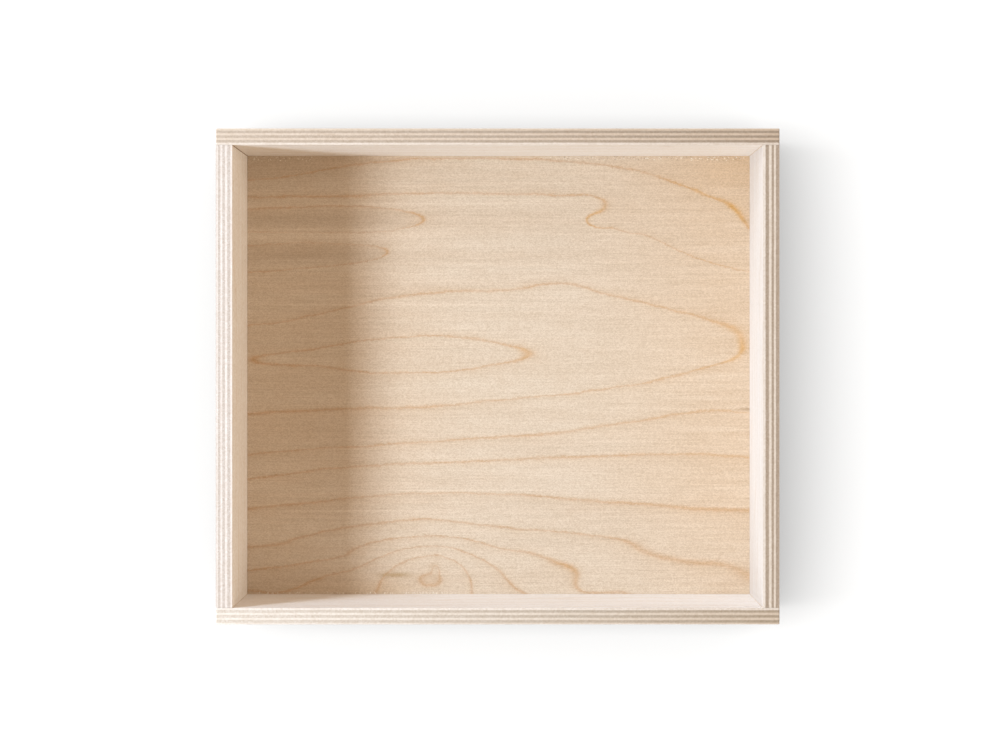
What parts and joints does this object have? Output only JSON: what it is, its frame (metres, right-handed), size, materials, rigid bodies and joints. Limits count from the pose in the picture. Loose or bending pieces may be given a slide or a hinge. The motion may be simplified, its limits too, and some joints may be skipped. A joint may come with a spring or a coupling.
{
  "type": "shadow box",
  "caption": "Open-fronted display box of edge-exposed birch plywood boards round a grooved-in back panel, with a shallow rear recess for hanging.",
  "frame": {"origin": "middle of the box's outline on the plane of the boards' rear edges", "axes": "+X towards the right board, along the long side; +Y towards the top board; +Z out of the open front"},
  "size_m": [0.308, 0.271, 0.08],
  "materials": {
    "birch_plywood": "bare, sanded, with seven plies showing on every edge",
    "birch_panel": "bare, sanded, with a broad cathedral figure",
    "beech_dowel": "fluted"
  },
  "bodies": {
    "root": {"top_board": "birch_plywood", "bottom_board": "birch_plywood", "left_board": "birch_plywood", "right_board": "birch_plywood", "back_panel": "birch_panel", "dowel_top_left_1": "beech_dowel", "dowel_top_left_2": "beech_dowel", "dowel_top_left_3": "beech_dowel", "dowel_top_right_1": "beech_dowel", "dowel_top_right_2": "beech_dowel", "dowel_top_right_3": "beech_dowel", "dowel_bottom_left_1": "beech_dowel", "dowel_bottom_left_2": "beech_dowel", "dowel_bottom_left_3": "beech_dowel", "dowel_bottom_right_1": "beech_dowel", "dowel_bottom_right_2": "beech_dowel", "dowel_bottom_right_3": "beech_dowel"}
  },
  "joints": []
}
